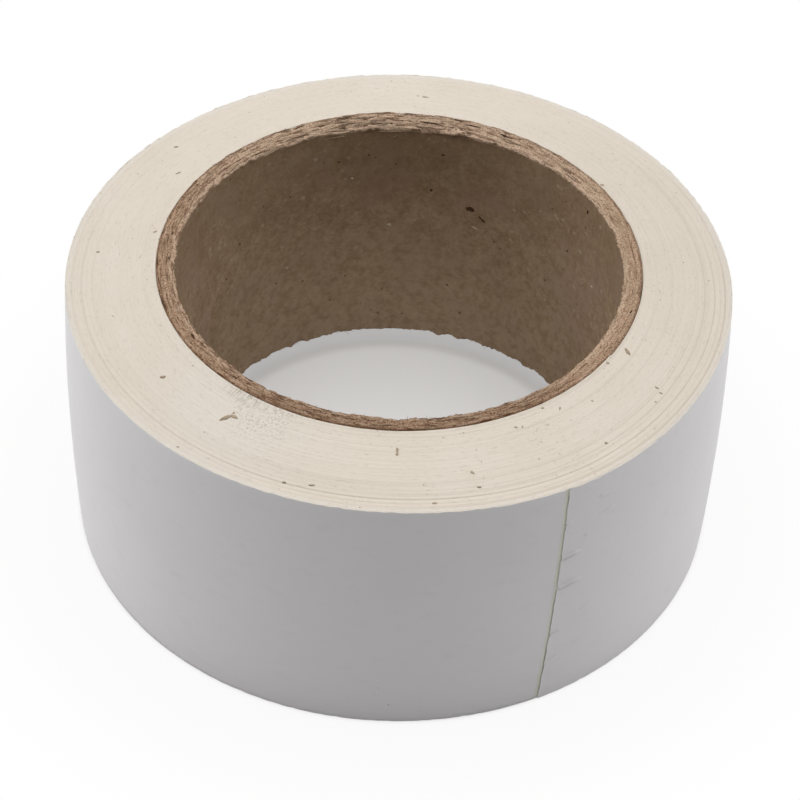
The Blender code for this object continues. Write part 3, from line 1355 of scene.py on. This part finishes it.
# %% Where the scraps and pits lie
BORE_BITS = (
    (468.5, 209, 1.5, 1.0, 5),
    (472, 210, 1.3, 1.1, 60),
    (470, 207.5, 1.3, 0.6, 0),
    (480, 218, 1.0, 0.5, -40),
    (483, 221, 1.3, 0.6, -40),
    (443, 155, 0.7, 0.5, 0),
    (431, 190, 0.8, 0.7, 0),
    (240, 244, 0.5, 0.4, 0),
    (588, 212, 0.4, 1.3, 0),
    (567, 251, 0.6, 0.5, 0),
    (330, 300, 0.5, 0.4, 30),
)
PALE_BITS = (
    (389, 225, 1.2, 1.0, 0),
    (592, 287, 1.0, 0.8, 0),
    (475, 228, 1.6, 0.3, -25),
    (415, 220, 0.9, 0.4, 30),
    (352, 178, 0.7, 0.5, 0),
    (287, 268, 0.7, 0.5, 20),
    (545, 300, 0.6, 0.5, 0),
)
END_PIT_SHADE = (
    (172.5, 233, 1.1, 0.45),
    (169, 257, 1.0, 0.4),
    (193, 335, 1.6, 0.35),
    (235, 377, 1.2, 0.45),
    (335, 414, 1.8, 0.5),
    (430, 419, 1.8, 0.5),
    (631, 311, 0.9, 0.5),
    (345, 118, 4.0, 0.22),
    (385, 120.5, 4.6, 0.24),
    (402, 116, 3.6, 0.18),
    (430, 121, 4.2, 0.24),
    (456, 120, 3.6, 0.18),
    (472, 126, 4.2, 0.24),
    (505, 136, 3.6, 0.22),
    (300, 127, 3.2, 0.20),
)
print(len(BORE_BITS), "dark and", len(PALE_BITS), "pale scraps,", len(END_PIT_SHADE), "pits")

# %% [markdown]
# A crumb is a small disc of uneven outline, extruded to a thickness of paper, narrowed at the top
# and given a crown. Its points say how far up the crumb they are, so that the finish can paint the
# top paler than the sides, as painted light from above.

# %% One crumb
CRUMB_SIDES = 8
CRUMB_OUTLINE = (0.62, 1.15)
CRUMB_THICKNESS = 0.12 * MM
CRUMB_THICKNESSES = (0.4, 1.3)
CRUMB_TOP = 0.7
CRUMB_CROWN = 0.16 * MM
CRUMB_SUNK = 0.03 * MM
EDGE_RAISED = 0.35


def new_crumbs():
    """An empty mesh whose points will say how far up a crumb they are, from 0 to 1."""
    mesh = bmesh.new()
    mesh.verts.layers.float.new("raised")
    return mesh


def add_crumb(mesh, length, width, turn, lay, dice):
    """One crumb with an uneven outline and a crown. lay carries its flat coordinates to their place."""
    made = bmesh.ops.create_circle(mesh, cap_ends=True, segments=CRUMB_SIDES, radius=0.5)
    for vertex in made["verts"]:
        vertex.co *= dice.uniform(*CRUMB_OUTLINE)
    base = list({face for vertex in made["verts"] for face in vertex.link_faces})
    grown = bmesh.ops.extrude_face_region(mesh, geom=base)["geom"]
    top = [item for item in grown if isinstance(item, bmesh.types.BMVert)]
    top_faces = [item for item in grown if isinstance(item, bmesh.types.BMFace)]
    bmesh.ops.scale(mesh, vec=(CRUMB_TOP, CRUMB_TOP, 1.0), verts=top)
    raised = mesh.verts.layers.float["raised"]
    for vertex in top:
        vertex.co.z += CRUMB_THICKNESS * dice.uniform(*CRUMB_THICKNESSES)
        vertex[raised] = EDGE_RAISED
    crown = bmesh.ops.poke(mesh, faces=top_faces)["verts"]
    for vertex in crown:
        vertex.co.z += CRUMB_CROWN * min(1.0, width)
        vertex[raised] = 1.0
    everything = made["verts"] + top + crown
    turned = Matrix.Rotation(math.radians(turn), 3, "Z")
    bmesh.ops.scale(mesh, vec=(length * MM, width * MM, 1.0), verts=everything)
    bmesh.ops.rotate(mesh, cent=(0, 0, 0), matrix=turned, verts=everything)
    for vertex in everything:
        vertex.co = lay(vertex.co.x, vertex.co.y, vertex.co.z - CRUMB_SUNK)


print(f"a crumb is up to {(CRUMB_THICKNESS * CRUMB_THICKNESSES[1] + CRUMB_CROWN) / MM:.2f} mm thick")

# %% [markdown]
# Three helpers lay a crumb down: on the end face of the tape, on the curved wall of the bore, or
# along the sawn end of the core. Each returns a function from the crumb's own coordinates to a
# point.

# %% Lay a crumb down
def lie_on_face(centre):
    def lay(x, y, z):
        return Vector((centre.x + x, centre.y + y, face_height(centre.x + x, centre.y + y) + z))

    return lay


def stick_in_bore(centre):
    middle = math.atan2(centre.y, centre.x)

    def lay(x, y, z):
        angle = middle - x / bore_radius
        height = centre.z + y
        return round_point(bore_wall(angle, height) - z, angle, height)

    return lay


def lie_on_core(centre):
    middle = math.atan2(centre.y, centre.x)
    distance = math.hypot(centre.x, centre.y)

    def lay(x, y, z):
        angle = middle + x / distance
        radius = distance + y
        return round_point(radius, angle, sawn_height(angle, radius) + z)

    return lay


print("crumbs can lie on the tape, in the bore and on the core")

# %% [markdown]
# The dust between the larger crumbs is scattered at random from a fixed seed, thicker towards the
# core. One random source makes all the outlines, so the order of the loops is part of the result.
# Extruding leaves a crumb's sides in no fixed order, so at the end all faces are put in order along
# one slanting line, and every run gives the same mesh.

# %% Scatter the crumbs and scraps
DUST_COUNT = 70
DUST_SIZES = (0.06, 0.20)
DUST_PLACES = (0.02, 0.97)
DUST_CROWDING = 1.3
DUST_SEED = 11
FACE_ORDER = Vector((0.83, 0.47, 0.31))

dice = random.Random(DUST_SEED)
crumb_mesh = new_crumbs()
bit_mesh = new_crumbs()
pale_mesh = new_crumbs()
for pixel_x, pixel_y, length, width, turn in CRUMBS:
    add_crumb(crumb_mesh, length, width, turn, lie_on_face(on_upper_face(pixel_x, pixel_y)), dice)
for _ in range(DUST_COUNT):
    angle = dice.uniform(0, TURN)
    radius = core_radius + (rim_radius - core_radius) * dice.uniform(*DUST_PLACES) ** DUST_CROWDING
    size = dice.uniform(*DUST_SIZES)
    lay = lie_on_face(round_point(radius, angle, 0.0))
    add_crumb(crumb_mesh, size * dice.uniform(1, 2), size, dice.uniform(0, 360), lay, dice)
for pixel_x, pixel_y, length, width, turn in BORE_BITS:
    add_crumb(bit_mesh, length, width, turn, stick_in_bore(on_bore(pixel_x, pixel_y)), dice)
# Dark flakes in the pits of the sawn end: painted shade.
for pixel_x, pixel_y, length, width in END_PIT_SHADE:
    add_crumb(bit_mesh, length, width, 0.0, lie_on_core(on_upper_face(pixel_x, pixel_y)), dice)
for pixel_x, pixel_y, length, width, turn in PALE_BITS:
    add_crumb(pale_mesh, length, width, turn, stick_in_bore(on_bore(pixel_x, pixel_y)), dice)
for mesh in (crumb_mesh, bit_mesh, pale_mesh):
    bmesh.ops.recalc_face_normals(mesh, faces=mesh.faces)
    mesh.faces.sort(key=lambda face: FACE_ORDER.dot(face.calc_center_median()))
    print(len(mesh.faces), "faces")

# %% [markdown]
# The crumbs are the core's own board, painted dark at their sides and paler on top, which is painted
# light from above. Their finish also reads a noise on the place, so that neighbours differ. The bits
# in the bore are scraps of darker and paler paper that went into the pulp, with the same painted
# light on top. The dark bits in the sawn end are painted shade in its pits.

# %% Finish the crumbs
CRUMB_DARK = (0.250, 0.175, 0.112)
CRUMB_PALE = (0.640, 0.520, 0.385)
BIT_DARK = (0.045, 0.024, 0.013)
BIT_BROWN = (0.110, 0.058, 0.030)
BIT_GREY = (0.480, 0.395, 0.300)
BIT_PALE = (0.680, 0.590, 0.480)


def crumb_finish(name, dark, light):
    finish = Finish(name, roughness=0.9, specular=0.2)
    place = finish.place()
    shade = finish.grain(place, 240.0, detail=2.0).above(0.35, 0.68)
    fibre = finish.grain(place, 2600.0, detail=2.0)
    # How far up a piece a point lies makes it paler: painted light on the tops.
    share = shade * 0.45 + fibre * 0.30 + finish.value_of("raised") * 0.45
    finish.set("Base Color", finish.mix(share.clamped(), dark, light))
    finish.bump(fibre, 0.5, 0.05 * MM)
    return finish.material


small_pieces = (
    ("board_crumbs", crumb_mesh, CRUMB_DARK, CRUMB_PALE),
    ("dark_scraps_and_pit_shade", bit_mesh, BIT_DARK, BIT_BROWN),
    ("pale_scraps", pale_mesh, BIT_GREY, BIT_PALE),
)
for name, mesh, dark, light in small_pieces:
    piece = finished_piece(name, mesh, [crumb_finish(name, dark, light)])
    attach(piece, "roll")

# %% [markdown]
# ## Torn fibres
#
# Single strands stand up from the sawn ends of the core and hang over its two edges. Longer ones
# lie flat along the sawn end, most of them at the back, and fine hairs lie on the wall of the bore.
# Each is a thin three-sided spike, cut across twice so that it can be bent.

# %% A bent spike
FIBRE_SEED = 5
SPIKE_TAPER = 0.7


def add_fibre(mesh, root, way, length, thickness, droop):
    """A bent spike that starts at root and sets off along way."""
    made = bmesh.ops.create_grid(mesh, x_segments=3, y_segments=3, size=0.5)
    turn = way.normalized().to_track_quat("Z", "Y").to_matrix()
    for vertex in made["verts"]:
        around = TURN * (vertex.co.x + 0.5)
        along = vertex.co.y + 0.5
        spike = round_point(thickness * (1 - SPIKE_TAPER * along), around, length * along)
        vertex.co = turn @ spike + root + droop * (along * along)


def directions(angle):
    """Outwards, along and up, at an angle round the roll."""
    outward = round_point(1.0, angle, 0.0)
    return outward, Vector((-outward.y, outward.x, 0.0)), Vector((0.0, 0.0, 1.0))


dice = random.Random(FIBRE_SEED)
fibre_mesh = bmesh.new()
hair_mesh = bmesh.new()
print("fibres are drawn from seed", FIBRE_SEED)

# %% [markdown]
# The first kind stands at the two edges of each end. At the bore it leans inwards, and at the
# outside it leans out over the tape.

# %% Raise fibres along the core's ends
FIBRE_COUNT = 1100
FIBRE_LENGTHS = (0.3, 1.2)
FIBRE_RADII = (0.03, 0.06)
FIBRE_UPPER_SHARE = 0.62
FIBRE_CROWDING = 2
FIBRE_LEANS = (-0.2, 0.7)
FIBRE_SWAYS = (-1.4, 1.4)
FIBRE_RISES = (0.05, 0.5)
FIBRE_CURLS = (-0.32, 0.32)
FIBRE_ROOTED = 0.15 * MM
FIBRE_DROOPS = {1: 0.25 * MM, -1: -0.1 * MM}
FIBRE_CLEAR = 0.06 * MM
WALL_CLEAR = 0.1 * MM
INNER_BAND = 0.9
OUTER_BAND = 0.1
OUTER_SHARE = 0.22
OUTER_LEAN = 0.8
OUTER_LENGTH = 0.7

for _ in range(FIBRE_COUNT):
    angle = dice.uniform(0, TURN)
    outward, sideways, up = directions(angle)
    side = 1 if dice.random() < FIBRE_UPPER_SHARE else -1
    is_outer = side > 0 and dice.random() < OUTER_SHARE
    if is_outer:
        across = 1.0 - OUTER_BAND * dice.random()
        lean = -OUTER_LEAN * dice.random()
    else:
        across = INNER_BAND * dice.random() ** FIBRE_CROWDING
        lean = dice.uniform(*FIBRE_LEANS)
    distance = bore_radius + FIBRE_CLEAR + across * (core_radius - bore_radius - WALL_CLEAR)
    end = core_high - slump(angle, distance) if side > 0 else core_low
    root = outward * distance + up * (end - side * FIBRE_ROOTED)
    way = sideways * dice.uniform(*FIBRE_SWAYS) - outward * lean + up * side * dice.uniform(*FIBRE_RISES)
    length = dice.uniform(*FIBRE_LENGTHS) * MM * (OUTER_LENGTH if is_outer else 1.0)
    droop = sideways * dice.uniform(*FIBRE_CURLS) * MM - up * FIBRE_DROOPS[side]
    add_fibre(fibre_mesh, root, way, length, dice.uniform(*FIBRE_RADII) * MM, droop)
print(len(fibre_mesh.faces), "faces after the edges")

# %% [markdown]
# The second kind lies along the sawn end. Each bends with the tube, and the back gets more of them
# than the rest. Some of those at the back hang down the wall of the bore as a fringe.

# %% Lay strands along the sawn end
STRAND_COUNT = 420
STRAND_LENGTHS = (1.2, 4.5)
STRAND_RADII = (0.05, 0.11)
STRAND_PLACES = (0.04, 0.96)
STRAND_RISES = (-0.01, 0.05)
STRAND_LEANS = (-0.06, 0.06)
STRAND_PROUD = 0.02 * MM
BACK_SPREAD = math.radians(27.5)
BACK_SHARE = 0.55
HANGING_SHARE = 0.5
HANGING_DEPTHS = (0.1, 1.1)
HANGING_PROUD = 0.03 * MM

for _ in range(STRAND_COUNT):
    is_back = dice.random() < BACK_SHARE
    angle = dice.gauss(TORN_MIDDLE, BACK_SPREAD) if is_back else dice.uniform(0, TURN)
    outward, sideways, up = directions(angle)
    is_hanging = is_back and dice.random() < HANGING_SHARE
    distance = bore_radius + (core_radius - bore_radius) * dice.uniform(*STRAND_PLACES)
    height = sawn_height(angle, distance) + STRAND_PROUD
    if is_hanging:
        distance = bore_wall(angle, core_high) - HANGING_PROUD
        depth = fringe_depth(angle) * dice.uniform(*HANGING_DEPTHS)
        height = core_high - slump(angle, distance) - depth
    root = outward * distance + up * height
    way = sideways * dice.choice((-1, 1)) + up * dice.uniform(*STRAND_RISES)
    way += outward * dice.uniform(*STRAND_LEANS)
    length = dice.uniform(*STRAND_LENGTHS) * MM
    droop = outward * (-length * length / (2 * distance))
    add_fibre(fibre_mesh, root, way, length, dice.uniform(*STRAND_RADII) * MM, droop)
close_mesh(fibre_mesh)
print(len(fibre_mesh.faces), "faces after the sawn end")

# %% [markdown]
# The third kind are single hairs of the paper that lie on the wall of the bore. The wall curves
# towards them, so they bend inwards to stay on it.

# %% Lay hairs on the wall of the bore
HAIR_COUNT = 200
HAIR_LENGTHS = (0.5, 2.0)
HAIR_RADII = (0.03, 0.07)
HAIR_CURLS = (-0.4, 0.4)
HAIR_PROUD = 0.02 * MM
HAIR_LIFTED = 0.08 * MM
HAIR_HEIGHTS = (core_low + MM, core_high - 2.5 * MM)

for _ in range(HAIR_COUNT):
    angle = dice.uniform(0, TURN)
    outward, sideways, up = directions(angle)
    height = dice.uniform(*HAIR_HEIGHTS)
    root = outward * (bore_wall(angle, height) - HAIR_PROUD) + up * height
    way = sideways * dice.uniform(-1, 1) + up * dice.uniform(-1, 1)
    length = dice.uniform(*HAIR_LENGTHS) * MM
    droop = outward * (-length * length / (2 * bore_radius) - HAIR_LIFTED)
    droop += sideways * dice.uniform(*HAIR_CURLS) * MM
    add_fibre(hair_mesh, root, way, length, dice.uniform(*HAIR_RADII) * MM, droop)
close_mesh(hair_mesh)
print(len(hair_mesh.faces), "faces of hairs")

# %% [markdown]
# The strands are pale where they are torn from the sheet, so they catch the light against the dark
# bore.

# %% Finish the fibres
STRAND_PALE = (0.540, 0.410, 0.290)
STRAND_DARK = (0.220, 0.140, 0.085)
HAIR_PALE = (0.640, 0.550, 0.440)
HAIR_DARK = (0.360, 0.275, 0.195)


def strand_finish(name, dark, pale):
    finish = Finish(name, roughness=0.85, specular=0.2)
    shade = finish.grain(finish.place(), 300.0, detail=1.0).above(0.35, 0.65)
    finish.set("Base Color", finish.mix(shade, dark, pale))
    return finish.material


fibre_pieces = (
    ("torn_fibres", fibre_mesh, STRAND_DARK, STRAND_PALE),
    ("bore_hairs", hair_mesh, HAIR_DARK, HAIR_PALE),
)
for name, mesh, dark, pale in fibre_pieces:
    piece = finished_piece(name, mesh, [strand_finish(name, dark, pale)])
    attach(piece, "roll")

# %% [markdown]
# ## Floor, world and lamps
#
# The roll lies on a sheet of white paper. Lit by the lamps alone it would come out grey, so the
# camera is shown a share of plain white in its place. Around the roll that share is nearly all, and
# what is left of the paper's own shading keeps the roll's shadow. Inside the bore it is about a
# third and falls off towards the wall, so that the paper there still darkens, and it rises again
# beneath the core, where a narrow band of the floor is lighter. Only rays that come from the
# camera, straight or by a reflection, see this white, so it puts no light on the roll.

# %% The sweep
SWEEP_HALF = 3.0
SWEEP_WHITE = (0.800, 0.795, 0.785)
SWEEP_CLEAR = (55.5 * MM, 58.0 * MM)
SHADOW_SHARE = 0.08
SHADOW_FADE = (60.0 * MM, 95.0 * MM)
BORE_SHARES = (0.34, 0.23, 0.43)
BORE_DARKENS = (bore_radius - 3.6 * MM, bore_radius - 1.2 * MM)
BORE_LIGHTENS = (bore_radius - 0.8 * MM, bore_radius + 1.6 * MM)
BORE_ENDS = (core_radius, core_radius + 4 * MM)
PLAIN_WHITE = (1.0, 1.0, 1.0, 1.0)


def sweep_finish():
    finish = Finish("sweep_paper", roughness=0.9, specular=0.1)
    finish.set("Base Color", (*SWEEP_WHITE, 1.0))
    x, y, _ = finish.parts(finish.place())
    away = finish.length(finish.joined(x, y, 0.0))
    rays = finish.node("ShaderNodeLightPath").socket.node.outputs
    seen = Signal(finish, rays["Is Camera Ray"]) + Signal(finish, rays["Is Glossy Ray"])
    seen = (seen + Signal(finish, rays["Is Transmission Ray"])).clamped()
    glow = finish.node("ShaderNodeEmission", inputs={"Color": PLAIN_WHITE, "Strength": 1.0})
    # In the bore the white share dips towards the wall and rises beneath the core: painted shade and painted
    # light on the floor.
    middle, edge, beneath = BORE_SHARES
    inside = middle - (middle - edge) * away.above(*BORE_DARKENS)
    inside = inside + (beneath - edge) * away.above(*BORE_LIGHTENS)
    inside = inside * away.below(*BORE_ENDS)
    around = away.above(*SWEEP_CLEAR) * (1.0 - SHADOW_SHARE * away.below(*SHADOW_FADE))
    share = seen * (inside + around)
    lit = Signal(finish, finish.shader.outputs[0])
    white = finish.node("ShaderNodeMixShader", inputs={0: share, 1: lit, 2: glow})
    finish.feed(finish.tree.nodes["Material Output"].inputs["Surface"], white)
    return finish.material


sweep_mesh = bmesh.new()
bmesh.ops.create_grid(sweep_mesh, x_segments=2, y_segments=2, size=SWEEP_HALF)
sweep_data = bpy.data.meshes.new("sweep")
sweep_mesh.to_mesh(sweep_data)
sweep_mesh.free()
sweep_data.materials.append(sweep_finish())
sweep = bpy.data.objects.new("sweep", sweep_data)
bpy.context.scene.collection.objects.link(sweep)
print("sweep", SWEEP_HALF * 2, "m wide")

# %% [markdown]
# The end face is the brightest surface and the front wall the darkest, with both flanks in between.
# So the main light is a broad panel above and behind, with a panel at each side, and the front gets
# only what the room and the floor send back.

# %% Lamps
PANELS = (
    ("top_panel", Vector((0.0, 0.06, 0.85)), 0.80, 4.9),
    ("left_panel", Vector((-0.75, 0.12, 0.34)), 0.60, 2.6),
    ("right_panel", Vector((0.75, 0.12, 0.34)), 0.60, 2.1),
)

for name, place, side, power in PANELS:
    panel = bpy.data.lights.new(name, "AREA")
    panel.size = side
    panel.energy = power
    lamp = bpy.data.objects.new(name, panel)
    lamp.location = place
    lamp.rotation_euler = (AIM - place).to_track_quat("-Z", "Y").to_euler()
    bpy.context.scene.collection.objects.link(lamp)
    print(name, power, "W")

# %% [markdown]
# The room lights the roll weakly from all sides. The camera sees plain white in its place, as it
# does on the floor.

# %% World
ROOM_LEVEL = 0.12

world = bpy.data.worlds.new("room")
world.use_nodes = True
bpy.context.scene.world = world
tree = world.node_tree
rays = tree.nodes.new("ShaderNodeLightPath").outputs
room = tree.nodes["Background"]
room.inputs["Color"].default_value = PLAIN_WHITE
room.inputs["Strength"].default_value = ROOM_LEVEL
white = tree.nodes.new("ShaderNodeBackground")
white.inputs["Color"].default_value = PLAIN_WHITE
choose = tree.nodes.new("ShaderNodeMixShader")
tree.links.new(rays["Is Camera Ray"], choose.inputs[0])
tree.links.new(room.outputs[0], choose.inputs[1])
tree.links.new(white.outputs[0], choose.inputs[2])
tree.links.new(choose.outputs[0], tree.nodes["World Output"].inputs["Surface"])
bpy.context.scene.view_settings.view_transform = "Standard"
print("room level", ROOM_LEVEL)
